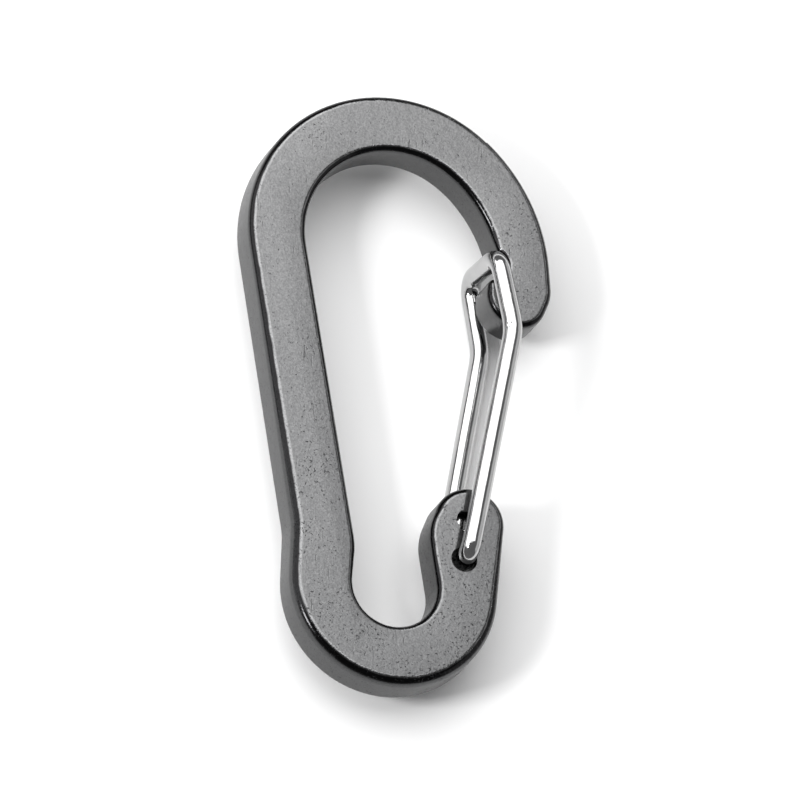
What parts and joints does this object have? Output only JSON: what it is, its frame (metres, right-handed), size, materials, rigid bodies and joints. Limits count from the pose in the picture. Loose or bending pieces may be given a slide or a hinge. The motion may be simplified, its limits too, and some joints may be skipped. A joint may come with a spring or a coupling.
{
  "type": "carabiner keyring",
  "caption": "Flat gourd-shaped spring hook with a sprung wire gate, for clipping keys to a loop or strap.",
  "frame": {"origin": "centre of the part's box in X and Y, at its lowest point: the back leg of the wire gate, as the hook lies flat", "axes": "+Y along the hook from the small lower basket to the crown, +X towards the gate, +Z out of the front face, where the lower pin enters"},
  "size_m": [0.0244, 0.0482, 0.0081],
  "materials": {
    "body_metal": "gunmetal grey casting, fine-grained satin faces with smoother rounded edges",
    "gate_steel": "bright drawn stainless wire"
  },
  "bodies": {
    "hook": {"hook_body": "body_metal"},
    "gate": {"wire_gate": "gate_steel"}
  },
  "joints": [
    {"name": "gate_hinge", "type": "hinge", "parent": "hook", "child": "gate", "pos_m": [0.00386, -0.01347, 0.00405], "axis": [0, 0, 1], "range_deg": [0, 20], "stiffness_Nm_per_rad": 0.15, "springref_deg": -11.46}
  ]
}
